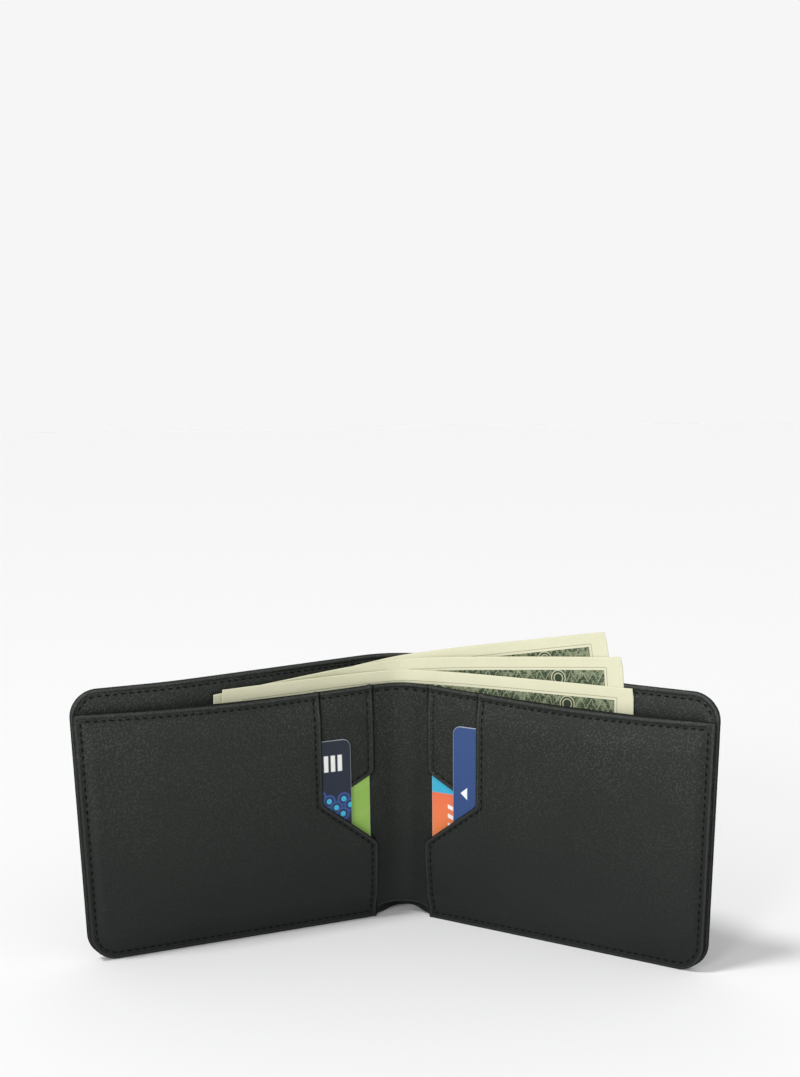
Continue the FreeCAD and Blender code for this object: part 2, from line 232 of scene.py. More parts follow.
def rim_seam(crease):
    """Along the shell's top and round its corner down to the divider's hem."""
    side = crease + PANEL_LENGTH - RIM_TO_SEAM
    radius = CORNER_RADIUS - RIM_TO_SEAM
    return ([(crease + 1.0, RIM_Z)] + arc(side - radius, RIM_Z - radius, radius, 90, 0)
            + [(side, HEM_Z + 1.0)])


def notch_offset(e):
    """The front pocket's edge moved outwards by e."""
    slope = (NOTCH_HIGH - NOTCH_LOW) / NOTCH_REACH
    along = e * slope / (1 + math.hypot(1, slope))
    low, high = CREASE + e, NOTCH_END + e
    return [(low, NOTCH_FOOT), (low, NOTCH_LOW - along), (high, NOTCH_HIGH - along), (high, HEM_Z)]


def rear_offset(e):
    """The rear pocket's edge moved outwards by e, from the hem down to the front pocket."""
    slope = (REAR_TOP - REAR_LOW) / (NOTCH_END - REAR_START)
    along = e * slope / (1 + math.hypot(1, slope))
    return [(REAR_START + e, HEM_Z), (REAR_START + e, REAR_TOP + along),
            (NOTCH_END, REAR_LOW + along + e * slope + 0.4)]


def distance_to(lines, s, z):
    """Distance of each point from the nearest of several polylines."""
    best = math.inf
    for line in lines:
        for (s0, z0), (s1, z1) in zip(line, line[1:]):
            ds, dz = s1 - s0, z1 - z0
            u = np.clip(((s - s0) * ds + (z - z0) * dz) / (ds * ds + dz * dz), 0, 1)
            best = np.minimum(best, np.hypot(s - s0 - u * ds, z - z0 - u * dz))
    return best


def groove(lines, s, z, deep=0.22, width=0.5):
    return deep * bell(distance_to(lines, s, z), 0, width)


def uneven(s, z, phase, size=0.12):
    """Slow hand-made waviness of a leather face."""
    return size * (np.sin(s / 17.0 + phase) * np.sin(z / 13.0 + 2 * phase)
                   + 0.6 * np.sin(s / 9.0 - z / 15.0 + 3 * phase))


# ---- sheets ----
NEAR_EDGE = [0.0, 0.04, 0.12, 0.25, 0.42, 0.65, 1.0, 1.4, 1.8]
NEAR_SEAM = [2.0, 2.2, 2.4, 2.6, 2.9, 3.3]
EDGE_AND_SEAM = NEAR_EDGE + NEAR_SEAM
FOOT_ROWS = EDGE_AND_SEAM + [4.2, 5.2, 6.2]
RIM_ROWS = EDGE_AND_SEAM + [4.6, 5.2, 5.8, 6.4]
SPINE_COLUMNS = [0.0, 0.15, 0.4, *np.arange(0.8, 10.3, 0.7), *np.arange(10.4, 13.4, 0.25)]
SHELL_COLUMNS = [0.0, 0.2, 0.5, *np.arange(1.0, 21.0)]
CLOTH_HEAD = [0.0, 0.1, 0.4]
CLOTH_EDGE = [*CLOTH_HEAD, 1.0]


def stations(length, low, high, step=None, inside=()):
    """Positions from 0 to length, given near both ends and even between, plus a few inside."""
    step = step or STEP
    start = [v for v in low if v < length * 0.4] or [0.0]
    end = [length - v for v in high if v < length * 0.4][::-1] or [length]
    count = max(2, int(round((end[0] - start[-1]) / step)))
    middle = list(np.linspace(start[-1], end[0], count + 1)[1:-1])
    middle = [v for v in middle if all(abs(v - w) > step * 0.3 for w in inside)]
    inner = [v for v in inside if start[-1] + 0.2 < v < end[0] - 0.2]
    return np.array(sorted(start + middle + inner + end))


def add_object(name, data):
    made = bpy.data.objects.new(name, data)
    bpy.context.scene.collection.objects.link(made)
    return made


def make_object(name, vertices, faces, material, uv=None, relief=None):
    """A mesh with its doubled edges joined; uv and relief are given per vertex."""
    mesh = bpy.data.meshes.new(name)
    mesh.from_pydata([tuple(v) for v in vertices], [], [tuple(f) for f in faces])
    if uv is not None:
        layer = mesh.uv_layers.new(name="UVMap")
        loops = np.zeros(len(mesh.loops), int)
        mesh.loops.foreach_get("vertex_index", loops)
        layer.data.foreach_set("uv", np.asarray(uv, float)[loops].ravel())
    if relief is not None:
        layer = mesh.attributes.new("relief", "FLOAT", "POINT")
        layer.data.foreach_set("value", np.asarray(relief, np.float32).ravel())
    bm = bmesh.new()
    bm.from_mesh(mesh)
    bmesh.ops.remove_doubles(bm, verts=bm.verts, dist=2e-6)
    bmesh.ops.dissolve_degenerate(bm, dist=1e-6, edges=bm.edges)
    bmesh.ops.recalc_face_normals(bm, faces=bm.faces)
    for edge in bm.edges:           # the wall at the middle of the spine keeps its own shading
        if len(edge.link_faces) == 2 and edge.calc_face_angle() > math.radians(75):
            edge.smooth = not all(abs(v.co.x) < 2e-5 for v in edge.verts)
    bm.to_mesh(mesh)
    bm.free()
    mesh.polygons.foreach_set("use_smooth", [True] * len(mesh.polygons))
    mesh.materials.append(material)
    return add_object(name, mesh)


def sheet_columns(length, near, far, scale):
    """Distances of every column from the left edge, one row of them for each height."""
    template = stations(float(np.max(length)), near, far)
    middle = template[len(near) - 1:len(template) - len(far) + 1]
    fraction = (middle - middle[0]) / (middle[-1] - middle[0])
    s = np.zeros((len(length), len(template)))
    for j, run in enumerate(length):
        start = np.array(near) * scale[j]
        end = run - np.array(far)[::-1]
        s[j, :len(near)] = start
        s[j, -len(far):] = end
        s[j, len(near) - 1:len(template) - len(far) + 1] = start[-1] + fraction * (end[0] - start[-1])
    return s


def two_faces(rows, columns, walled):
    """Quads of a front and a back grid, and of the wall down their first column."""
    count = rows * columns
    index = np.arange(count).reshape(rows, columns)
    quads = np.stack([index[:-1, :-1], index[:-1, 1:], index[1:, 1:], index[1:, :-1]],
                     -1).reshape(-1, 4)
    faces = [list(q) for q in quads] + [list(q) for q in quads[:, ::-1] + count]
    if walled:
        faces += [[low, high, high + count, low + count]
                  for low, high in zip(index[:, 0], index[1:, 0])]
    return faces


def sheet(name, side, place, material, rows, left, right, columns, front, back,
          round_edge=0.3, slant=None, uv=None, open_left=False, relief=None):
    """A closed thin sheet: two faces that meet at a rounded edge all round.

    rows are heights; left(z) and right(z) are its side edges; columns are distances from the left
    edge and from the right edge; front and back give depth at (s, z). open_left leaves the left
    edge square and walled, for a cut across the spine.
    """
    low, high = left(rows), right(rows)
    scale = slant(rows) if slant else np.ones(len(rows))
    s = low[:, None] + sheet_columns(high - low, *columns, scale)
    z = np.repeat(rows[:, None], s.shape[1], 1)
    cos_low = 1 / np.hypot(1, np.gradient(low, rows))
    cos_high = 1 / np.hypot(1, np.gradient(high, rows))
    edge = np.minimum((high[:, None] - s) * cos_high[:, None],
                      np.minimum(z - rows[0], rows[-1] - z))
    if not open_left:
        edge = np.minimum(edge, (s - low[:, None]) * cos_low[:, None])
    edge = np.maximum(edge, 0)
    f, b = front(s, z), back(s, z)
    full = np.sqrt(1 - (1 - np.clip(edge / round_edge, 0, 1)) ** 2)
    mid, half = (f + b) / 2, (b - f) / 2
    grids = []
    for depth in (mid - half * full, mid + half * full):
        points = place(s, depth, z)
        points[..., 0] *= SIGN[side]
        grids.append(points.reshape(-1, 3) * MM)
    coordinates = worked_and_shaded = None
    if uv:
        one = np.stack(uv(s, z), -1).reshape(-1, 2)
        coordinates = np.concatenate([one, one])
    if relief:
        worked_and_shaded = np.concatenate([face(s, z, edge).ravel() for face in relief])
    return make_object(name, np.concatenate(grids), two_faces(*s.shape, open_left), material,
                       coordinates, worked_and_shaded)


def round_cut(past, radius):
    """How far a quarter circle cuts in, at a distance past its start."""
    return radius - np.sqrt(np.maximum(radius**2 - np.clip(past, 0, radius) ** 2, 0))


def corner_limit(edge, foot, top, radius, both=True):
    """The outer edge of a half: straight, with a quarter circle at the foot and at the top."""
    def limit(z):
        cut = round_cut(foot + radius - z, radius)
        return edge - (np.maximum(cut, round_cut(z - top + radius, radius)) if both else cut)
    return limit


def level(value):
    """A face at one depth, or an edge at one place."""
    return lambda s, *_: np.full_like(s, value)


def rows_between(low, high, low_near=FOOT_ROWS, high_near=EDGE_AND_SEAM, inside=()):
    return low + stations(high - low, low_near, high_near, inside=[v - low for v in inside])


# ---- materials ----
# painted sheen and painted highlight: how much paler the leather is painted, and how much brighter its
# grain glints, per metre of height
SHEEN_BY_HEIGHT, GRAIN_GLINT_BY_HEIGHT = 5.2, 11.5      # of the leather, per metre
# near-black of edge paint, also used for painted shade in creases and seams and painted shadow beside
# leaf edges
BURNT_AND_SHADE = (0.0018, 0.0020, 0.0018, 1)
WEAVE_PITCH = 0.00042
ROSETTE_PERIOD = 52.0


def srgb(r, g, b):
    def linear(v):
        v /= 255
        return v / 12.92 if v <= 0.04045 else ((v + 0.055) / 1.055) ** 2.4
    return (linear(r), linear(g), linear(b), 1.0)


class Shader:
    """A short way to write a node tree: every method returns the socket it makes."""

    def __init__(self, name):
        self.material = bpy.data.materials.new(name)
        self.material.use_nodes = True
        self.tree = self.material.node_tree
        self.tree.nodes.clear()
        self.bsdf = self.tree.nodes.new("ShaderNodeBsdfPrincipled")
        out = self.tree.nodes.new("ShaderNodeOutputMaterial")
        self.tree.links.new(self.bsdf.outputs[0], out.inputs["Surface"])

    def put(self, made, key, value):
        """Fill an input given by number, or by name with _ for a space."""
        socket = made.inputs[key if isinstance(key, int) else key.replace("_", " ")]
        if isinstance(value, bpy.types.NodeSocket):
            self.tree.links.new(value, socket)
        else:
            socket.default_value = value

    def node(self, kind, out=0, props=None, numbered=(), **inputs):
        made = self.tree.nodes.new("ShaderNode" + kind)
        for key, value in (props or {}).items():
            setattr(made, key, value)
        for key, value in [*enumerate(numbered), *inputs.items()]:
            self.put(made, key, value)
        return made.outputs[out]

    def calc(self, operation, a, b=0.0, c=0.0, clamp=False):
        return self.node("Math", props={"operation": operation, "use_clamp": clamp},
                         numbered=(a, b, c))

    add = partialmethod(calc, "ADD")
    sub = partialmethod(calc, "SUBTRACT")
    mul = partialmethod(calc, "MULTIPLY")
    fma = partialmethod(calc, "MULTIPLY_ADD")
    low = partialmethod(calc, "MINIMUM")
    high = partialmethod(calc, "MAXIMUM")
    abs = partialmethod(calc, "ABSOLUTE")
    sine = partialmethod(calc, "SINE")

    def invert(self, value):
        return self.sub(1.0, value)

    def distance(self, x, y):
        return self.calc("SQRT", self.add(self.mul(x, x), self.mul(y, y)))

    def mix(self, factor, a, b):
        made = self.tree.nodes.new("ShaderNodeMix")
        made.data_type = "RGBA"
        for key, value in (("Factor", factor), (6, a), (7, b)):
            self.put(made, key, value)
        return made.outputs[2]

    def step(self, value, low, high):
        """0 below low and 1 above high."""
        return self.node("MapRange", props={"clamp": True}, Value=value, From_Min=low,
                         From_Max=high, To_Min=0.0, To_Max=1.0)

    def position(self):
        return self.node("TexCoord", out=3)

    def parts(self, vector):
        """The three components of a vector."""
        made = self.tree.nodes.new("ShaderNodeSeparateXYZ")
        self.put(made, 0, vector)
        return made.outputs

    def noise(self, scale, detail=3.0, vector=None):
        return self.node("TexNoise", Scale=scale, Detail=detail, Roughness=0.5,
                         Vector=vector or self.position())

    def bump(self, height, distance, strength=1.0):
        return self.node("Bump", Distance=distance, Strength=strength, Height=height)

    def finish(self, **inputs):
        for key, value in inputs.items():
            self.put(self.bsdf, key, value)
        return self.material


def leather(name, valley, tip):
    """Fine pebbled black leather with a faint green cast and a slow random tone, painted paler and
    with brighter grain glints towards its top as painted sheen and painted highlight.

    The relief attribute is above 0 on a ridge, painted paler there as partly polished leather and
    partly painted highlight, and below 0 where the leather is painted towards near-black: the cut
    edge's edge paint, crease lines that are partly heat-set and partly painted shade, painted shade
    along seams, and painted shadow beside the edge of a leaf that lies on top.
    """
    m = Shader(name)
    slanted = m.node("Mapping", props={"vector_type": "TEXTURE"}, Vector=m.position(),
                     Rotation=(0.0, -0.7, 0.0), Scale=(1.9, 1.0, 0.95))
    pebble = m.noise(2050.0, 2.0, slanted)
    streak = m.step(pebble, 0.50, 0.64)
    cluster = m.step(m.noise(48.0, 1.0), 0.30, 0.70)
    wrinkle = m.noise(380.0, 3.0, slanted)
    slow = m.noise(20.0, 2.0)
    height = m.parts(m.position())[2]
    # painted sheen: paler towards the top, as light from above would show it, over a slow random tone
    tone_and_sheen = m.high(m.fma(height, SHEEN_BY_HEIGHT, m.fma(slow, 0.24, -0.08)), 0.03)
    # painted highlight: the grain's glints are painted brighter towards the top
    grain_glint = m.fma(height, GRAIN_GLINT_BY_HEIGHT, 0.24)
    grain = m.add(m.mul(streak, m.mul(m.add(cluster, 0.70), grain_glint)), 0.60)
    work = m.node("Attribute", out=2, props={"attribute_name": "relief"})
    # painted highlight on ridges, partly polished; painted shade in creases and seams and painted
    # shadow beside leaf edges, towards the near-black that is also the edge paint
    polish_and_highlight = m.high(work, 0.0)
    burnt_and_shade = m.mul(m.low(work, 0.0), -1.0, clamp=True)
    shine = m.fma(polish_and_highlight, 0.5, m.mul(tone_and_sheen, grain), clamp=True)
    colour = m.mix(m.mul(burnt_and_shade, 0.85), m.mix(shine, valley, tip), BURNT_AND_SHADE)
    bumps = m.fma(wrinkle, 1.4, m.fma(streak, 0.35, pebble))
    # the painted highlight raises the reflection and the painted shade lowers it
    gloss = m.fma(burnt_and_shade, -0.22, m.fma(polish_and_highlight, 0.10, 0.26))
    return m.finish(Base_Color=colour, Roughness=m.fma(streak, -0.10, 0.56),
                    Normal=m.bump(bumps, 0.00009), Specular_IOR_Level=gloss)


def cloth(name, dark, light):
    """Plain woven lining."""
    m = Shader(name)
    wave = 2 * math.pi / WEAVE_PITCH
    x, y, z = m.parts(m.position())
    warp = m.sine(m.mul(m.sub(x, y), wave * 0.8))
    weft = m.sine(m.mul(z, wave))
    weave = m.fma(m.mul(warp, weft), 0.5, 0.5)
    slub = m.noise(600.0, 2.0)
    colour = m.mix(m.fma(weave, 0.5, m.mul(slub, 0.5)), dark, light)
    return m.finish(Base_Color=colour, Roughness=0.82, Normal=m.bump(weave, 0.00005, 0.8),
                    Specular_IOR_Level=0.3, Sheen_Weight=0.12, Sheen_Roughness=0.4)


def thread_material(name, dark, light):
    m = Shader(name)
    ply = m.node("TexWave", props={"bands_direction": "DIAGONAL"}, Scale=1500.0, Distortion=1.0,
                 Vector=m.position())
    colour = m.mix(ply, dark, light)
    return m.finish(Base_Color=colour, Roughness=0.7, Normal=m.bump(ply, 0.00006, 0.7),
                    Specular_IOR_Level=0.10)


def plane_of(m, wide, tall):
    """The face's own coordinates in millimetres, from its left foot corner."""
    along, up, _ = m.parts(m.node("UVMap", props={"uv_map": "UVMap"}))
    return m.mul(along, wide), m.mul(up, tall)


def band(m, value, low, high, soft=0.15):
    """1 between low and high."""
    return m.mul(m.step(value, low - soft, low + soft),
                 m.invert(m.step(value, high - soft, high + soft)))


def disc(m, x, y, centre, radius, soft=0.15):
    """1 inside a circle."""
    far = m.distance(m.sub(x, centre[0]), m.sub(y, centre[1]))
    return m.invert(m.step(far, radius - soft, radius + soft))


def card_print(name, low, high, foot, head, drawn):
    """Satin laminate over a printed face, with a pale rim that is the cut edge's pale core carried
    onto the face as a painted highlight, and faint dust-fine texture.

    The ground shifts from the foot colour to the head colour between two heights, and drawn adds
    what is printed over it.
    """
    m = Shader(name + "_card_print")
    x, y = plane_of(m, *CARD_SIZE)
    colour = drawn(m, x, y, m.mix(m.step(y, low, high), srgb(*foot), srgb(*head)))
    past = []
    for value, size in zip((x, y), CARD_SIZE):
        off_centre = m.abs(m.sub(value, size / 2))
        past.append(m.high(m.sub(off_centre, size / 2 - CARD_RADIUS), 0.0))
    rim = m.sub(CARD_RADIUS, m.distance(*past))
    # pale rim: the cut edge's own pale core, carried onto the face as a painted highlight along the
    # outline
    colour = m.mix(m.mul(m.invert(m.step(rim, 0.14, 0.32)), 0.55), colour, srgb(205, 212, 214))
    speck = m.noise(2600.0, 2.0)
    return m.finish(Base_Color=colour, Roughness=m.fma(m.noise(90.0, 3.0), 0.14, 0.30),
                    Normal=m.bump(speck, 0.000008, 0.6), Specular_IOR_Level=0.22)


NAVY_DOTS = [(82.4, 31.0), (76.6, 30.6), (79.4, 27.9), (85.0, 28.4), (82.0, 25.2),
             (73.6, 27.6), (76.4, 24.8), (72.9, 32.8)]


def navy_card(m, x, y, colour):
    """Navy, with three plain white bars and a scatter of ringed pale-blue dots."""
    for centre in NAVY_DOTS:
        for radius, shade in ((2.6, (58, 82, 140)), (1.75, (40, 48, 70)), (1.05, (64, 178, 216))):
            colour = m.mix(disc(m, x, y, centre, radius), colour, srgb(*shade))
    bars = reduce(m.high, [band(m, x, low, low + 1.7) for low in (74.9, 77.6, 80.3)])
    return m.mix(m.mul(bars, band(m, y, 42.0, 48.2)), colour, srgb(240, 240, 238))


def green_card(m, x, y, colour):
    """Green, with faint paler stripes."""
    stripe = m.sine(m.mul(m.sub(y, m.mul(x, 0.4)), 0.55))
    return m.mix(m.mul(m.step(stripe, 0.5, 0.8), 0.10), colour, srgb(196, 214, 140))


def blue_card(m, x, y, colour):
    """Blue, with a small white arrowhead that shows which way the card goes in."""
    rise = m.abs(m.sub(y, 28.6))
    edge = m.mul(m.sub(x, 3.3), 0.85)
    inside = m.mul(m.step(m.sub(edge, rise), -0.12, 0.12), m.invert(m.step(x, 5.9, 6.2)))
    return m.mix(inside, colour, srgb(236, 238, 240))


def orange_card(m, x, y, colour):
    """A cyan head over an orange field with three plain slanted dashes."""
    colour = m.mix(m.step(y, 32.6, 33.0), colour, srgb(62, 172, 206))
    slanted = m.fma(x, 0.35, y)
    dashes = reduce(m.high, [band(m, slanted, low, low + 1.6) for low in (22.4, 26.0, 29.6)])
    return m.mix(m.mul(dashes, band(m, x, 6.9, 12.4)), colour, srgb(244, 238, 232))


def engraving(m, a, b, ink, pale):
    """The lattice, leaves, zigzag and rosettes that fill the printed frame."""
    hatch = m.mul(m.sine(m.mul(m.add(a, b), 5.2)), m.sine(m.mul(m.sub(a, b), 5.2)))
    mottle = m.step(m.noise(1500.0, 2.0), 0.40, 0.62)
    colour = m.mix(m.mul(m.step(hatch, -0.2, 0.6), mottle), ink, srgb(134, 146, 114))
    leaf = m.step(m.noise(420.0, 3.0), 0.50, 0.60)
    colour = m.mix(m.mul(leaf, 0.45), colour, pale)
    swing = m.calc("PINGPONG", m.fma(m.noise(300.0, 1.0), 1.6, a), 2.1)
    zigzag = m.abs(m.sub(m.calc("MODULO", m.fma(swing, 1.7, b), 3.4), 1.7))
    colour = m.mix(m.mul(m.step(zigzag, 1.25, 1.5), 0.6), colour, pale)
    half, tall = ROSETTE_PERIOD / 2, NOTE_SIZE[1]
    across = m.sub(m.calc("MODULO", m.add(a, -2.6), ROSETTE_PERIOD), half)
    up = m.sub(m.abs(m.sub(b, tall / 2)), tall / 2 - 7.6)
    far = m.distance(across, up)
    colour = m.mix(m.invert(m.step(far, 2.6, 3.2)), colour, ink)
    rosette = m.high(band(m, far, 1.5, 1.9, 0.1), band(m, far, 2.5, 2.9, 0.1))
    return m.mix(m.mul(rosette, 0.85), colour, srgb(196, 198, 166))


def banknote_material():
    """Cream paper with a green engraved frame of lattice and rosettes; no figures or lettering."""
    m = Shader("banknote_print")
    wide, tall = NOTE_SIZE
    a, b = plane_of(m, wide, tall)
    to_right = m.sub(wide, a)
    ends = m.sub(m.low(a, to_right), 0.7)
    askew = m.fma(to_right, -0.006, m.sub(tall, b))
    margin = m.low(ends, m.low(b, askew))
    paper = m.mix(m.noise(55.0, 4.0), srgb(209, 207, 176), srgb(221, 220, 193))
    fibre = m.step(m.noise(2400.0, 3.0), 0.56, 0.66)
    paper = m.mix(m.mul(fibre, 0.16), paper, srgb(176, 178, 140))
    ink, pale = srgb(50, 63, 47), srgb(164, 171, 138)

    wavy = m.sine(m.fma(b, 7.5, m.mul(m.sine(m.mul(a, 0.35)), 4.0)))
    field = m.mul(m.step(wavy, 0.1, 0.6), m.step(margin, 14.7, 15.1))
    colour = m.mix(m.mul(field, 0.55), paper, srgb(132, 150, 108))
    colour = m.mix(band(m, margin, 4.6, 14.5, 0.1), colour, engraving(m, a, b, ink, pale))
    hairline = m.high(band(m, margin, 3.6, 3.75, 0.07), band(m, margin, 15.0, 15.2, 0.1))
    colour = m.mix(m.mul(hairline, 0.75), colour, ink)
    return m.finish(Base_Color=colour, Roughness=0.86,
                    Normal=m.bump(m.noise(700.0, 2.0), 0.00003, 0.6), Specular_IOR_Level=0.25)


VALLEY, TIP = (0.0034, 0.0060, 0.0044, 1), (0.0385, 0.0435, 0.0370, 1)
# The shell's leather is the inner leather painted paler: painted light, for the light that the shell's
# inside catches from above.
OUTER_VALLEY, OUTER_TIP = (0.0056, 0.0080, 0.0062, 1), (0.0460, 0.0515, 0.0440, 1)
MATERIALS = {
    "shell_leather": leather("shell_leather", OUTER_VALLEY, OUTER_TIP),
    "inner_leather": leather("inner_leather", VALLEY, TIP),
    "lining": cloth("lining_cloth", (0.010, 0.0115, 0.0105, 1), (0.024, 0.026, 0.024, 1)),
    "thread": thread_material("thread", (0.0020, 0.0023, 0.0021, 1), (0.0075, 0.0082, 0.0077, 1)),
    "card_navy": card_print("navy", 0.0, 54.0, (36, 44, 62), (40, 46, 58), navy_card),
    "card_green": card_print("green", 8.0, 50.0, (152, 192, 92), (138, 182, 82), green_card),
    "card_blue": card_print("blue", 0.0, 54.0, (44, 70, 122), (54, 78, 126), blue_card),
    "card_orange": card_print("orange", 18.0, 36.0, (236, 132, 78), (228, 108, 78), orange_card),
    "banknote": banknote_material(),
}


# ---- pieces across the spine ----
def bend_between(piece, inner, outer, side, start, end):
    """Bake the piece's placement into its mesh."""
    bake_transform(piece)


DIVIDER_ZONE = (0.8, 9.6)
SHELL_ZONE = (0.8, 15.5)


def ridge_and_crease(edge):
    """Worked edge of leather: painted cut, polished ridge, faint crease behind it."""
    # Finished edge of leather: black edge paint on the cut, a ridge painted paler as partly polished
    # and partly painted highlight, and a faint crease behind it painted darker as partly a heat-set
    # line and partly painted shade.
    return 0.6 * bell(edge, 0.75, 0.32) - 0.34 * bell(edge, 1.5, 0.22) - bell(edge, 0, 0.22)


def pressed(lines, s, z, width=0.4, strength=0.16):
    """Dark line painted along a seam: partly a mark pressed into the grain and partly painted shade in
    the seam's groove.
    """
    return -strength * bell(distance_to(lines, s, z), 0, width)


def crevice_shadow(lines, s, z):
    """Painted shadow beside the edge of a leaf that lies on top, where the leaf shades the layer under
    it.
    """
    return pressed(lines, s + 0.34, z, 0.42, 1.0)


def worked_and_shaded(lines):
    """Relief of a leaf: its finished edges and the seams pressed into it, with painted highlight on
    its ridges and painted shade in its creases and seams.
    """
    return lambda s, z, edge: ridge_and_crease(edge) + pressed(lines, s, z)


# ---- leather and lining ----
def bead(edge, proud, at=0.95, wide=0.62):
    """A rolled edge: a ridge near the edge and a crease behind it."""
    return proud * (bell(edge, at, wide) - 0.45 * bell(edge, at + 1.05, 0.28))


def seam_hem(edge, width, depth):
    """Extra depth of a turned edge: full near the edge, gone past its width."""
    return depth * (1 - smooth(edge, width - 0.35, width + 0.25))


def border_distance(s, z, outer=SIDE_EDGE, top=math.inf):
    """Distance from a half's side, foot and top, and from its rounded corners."""
    up = np.maximum(np.maximum(CORNER_RADIUS - z, z - (top - CORNER_RADIUS)), 0)
    corner = np.hypot(np.maximum(s - (outer - CORNER_RADIUS), 0), up)
    straight = np.minimum(outer - s, np.minimum(z, top - z))
    return np.where(corner > 0, CORNER_RADIUS - corner, straight)


def make_shell(side):
    """One half of the outer leather, with its share of the spine."""
    seams = [rim_seam(SHELL_CREASE), shifted(perimeter_seam(), BACK_SEAM_SHIFT)]
    phase = 0.7 if side == "left" else 2.1

    def front(s, z):
        edge = border_distance(s, z, SHELL_SIDE, SHELL_TOP)
        turned = seam_hem(edge, 5.4, SHELL_FRONT - SEWN_SHELL_FRONT)
        above = smooth(z, DIVIDER_TOP - 3, DIVIDER_TOP + 1)
        facing = SHELL_FACING * smooth(z, DIVIDER_TOP - 8, DIVIDER_TOP - 6)
        proud = turned * (1 - above) + facing * (0.5 + 0.5 * above) + bead(edge, EDGE_BEAD) * above
        return SHELL_FRONT - proud + groove(seams[:1], s, z, SHELL_GROOVE)

    def back(s, z):
        edge = border_distance(s, z, SHELL_SIDE, SHELL_TOP)
        soft = uneven(s, z, phase, 0.16) * smooth(edge, 3, 16) * smooth(s, 1, 12)
        return SHELL_BACK + soft + 0.088 * bell(edge, 1.2, 0.9) - groove(seams, s, z, SHELL_GROOVE)

    # its relief paints highlight on the shell's ridges and shade in its creases and seams
    piece = sheet("shell_" + side + "_leather", side, on_shell, MATERIALS["shell_leather"],
                  rows_between(0.0, SHELL_TOP, high_near=RIM_ROWS), level(0.0),
                  corner_limit(SHELL_SIDE, 0.0, SHELL_TOP, CORNER_RADIUS),
                  (SHELL_COLUMNS, RIM_ROWS), front, back, round_edge=0.75, open_left=True,
                  relief=(worked_and_shaded(seams[:1]), worked_and_shaded(seams)))
    bend_between(piece, "spine", side + "_panel", side, *SHELL_ZONE)
    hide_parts("shell_" + side, "shell_spine")


def shifted(line, by):
    return [(s + by, z) for s, z in line]


def make_lining(panel, side, place, rows, limit, columns, front, back, zone):
    """Thin cloth over one half of a leather panel, with its share of the spine."""
    piece = sheet(panel + "_lining_" + side + "_cloth", side, place, MATERIALS["lining"], rows,
                  level(0.0), limit, (columns, CLOTH_EDGE), front, back, round_edge=0.1,
                  open_left=True)
    bend_between(piece, "spine", side + "_panel", side, *zone)
    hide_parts(panel + "_lining_" + side, panel + "_lining_spine")


def make_shell_lining(side):
    phase = 1.3 if side == "left" else 0.4

    def front(s, z):
        return SHELL_LINING + uneven(s, z, phase, 0.025)

    width, top = SHELL_SIDE - 5.0, LINING_TOP + 0.4
    make_lining("shell", side, on_shell,
                rows_between(LINING_FOOT, top, low_near=CLOTH_EDGE, high_near=CLOTH_HEAD),
                corner_limit(width, LINING_FOOT, top, CORNER_RADIUS - 5), SHELL_COLUMNS,
                front, lambda s, z: front(s, z) + 0.2, SHELL_ZONE)


def arch(s):
    """Foot of the divider: on the floor under the half, cut to a flat arch between the creases."""
    out = np.clip(np.abs(s) / ARCH_REACH, 0, 1)
    return ARCH_HEIGHT * (1 - out**4) ** 0.25


def arched(side):
    """A half of the divider with its foot lifted along the arch, easing out higher up."""
    place = settled(side)

    def lifted(s, d, z):
        return place(s, d, z + arch(s) * (1 - smooth(z, 0.0, ARCH_FADE)))
    return lifted


def inner_limit(edge, foot=0.0):
    """The outer edge of a layer that is rounded at the foot only."""
    return corner_limit(edge, foot, DIVIDER_TOP, CORNER_RADIUS, both=False)


def make_divider(side):
    """One half of the panel before the bill compartment, with its share of the spine."""
    phase = 0.2 if side == "left" else 1.9
    hem = [hem_run(0.0, REAR_START)]

    def front(s, z):
        turned = seam_hem(DIVIDER_TOP - z, 5.2, 0.16)
        waves = uneven(s, z, phase, 0.05) * smooth(s, 1, 10)
        return 0.08 + waves - turned - bead(DIVIDER_TOP - z, EDGE_BEAD) + groove(hem, s, z, 0.2)

    def back(s, z):
        return DIVIDER_THICK + uneven(s, z, phase, 0.04) * smooth(s, 1, 10)

    # painted highlight and shade along the divider's edges and hem seam, and painted shadow beside the
    # pocket leaves' edges
    def marks_and_shade(s, z, edge):
        return (ridge_and_crease(edge) + pressed(hem, s, z)
                + crevice_shadow([REAR_POINTS, FRONT_POINTS], s, z))

    piece = sheet("divider_" + side + "_leather", side, arched(side), MATERIALS["inner_leather"],
                  rows_between(0.0, DIVIDER_TOP, high_near=EDGE_AND_SEAM + [4.6, 5.0, 5.4, 6.0]),
                  level(0.0), inner_limit(SIDE_EDGE), (SPINE_COLUMNS, NEAR_EDGE), front, back,
                  round_edge=0.35, open_left=True, relief=(marks_and_shade, level(0.0)))
    bend_between(piece, "spine", side + "_panel", side, *DIVIDER_ZONE)
    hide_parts("divider_" + side, "divider_spine")
    make_divider_lining(side, back)


def make_divider_lining(side, leather_back):
    make_lining("divider", side, arched(side),
                rows_between(0.6, DIVIDER_TOP - 0.8, low_near=CLOTH_HEAD, high_near=CLOTH_HEAD),
                inner_limit(SIDE_EDGE - 0.4, 0.6), SPINE_COLUMNS,
                lambda s, z: leather_back(s, z) + 0.02, lambda s, z: leather_back(s, z) + 0.2,
                DIVIDER_ZONE)


def stepped_edge(points, easing):
    """A pocket's edge as a function of height, with its corners eased."""
    places, heights = np.array(points).T
    offsets = np.linspace(-easing, easing, 9)

    def edge(z):
        return sum(np.interp(z + shift, heights, places) for shift in offsets) / len(offsets)
    return edge


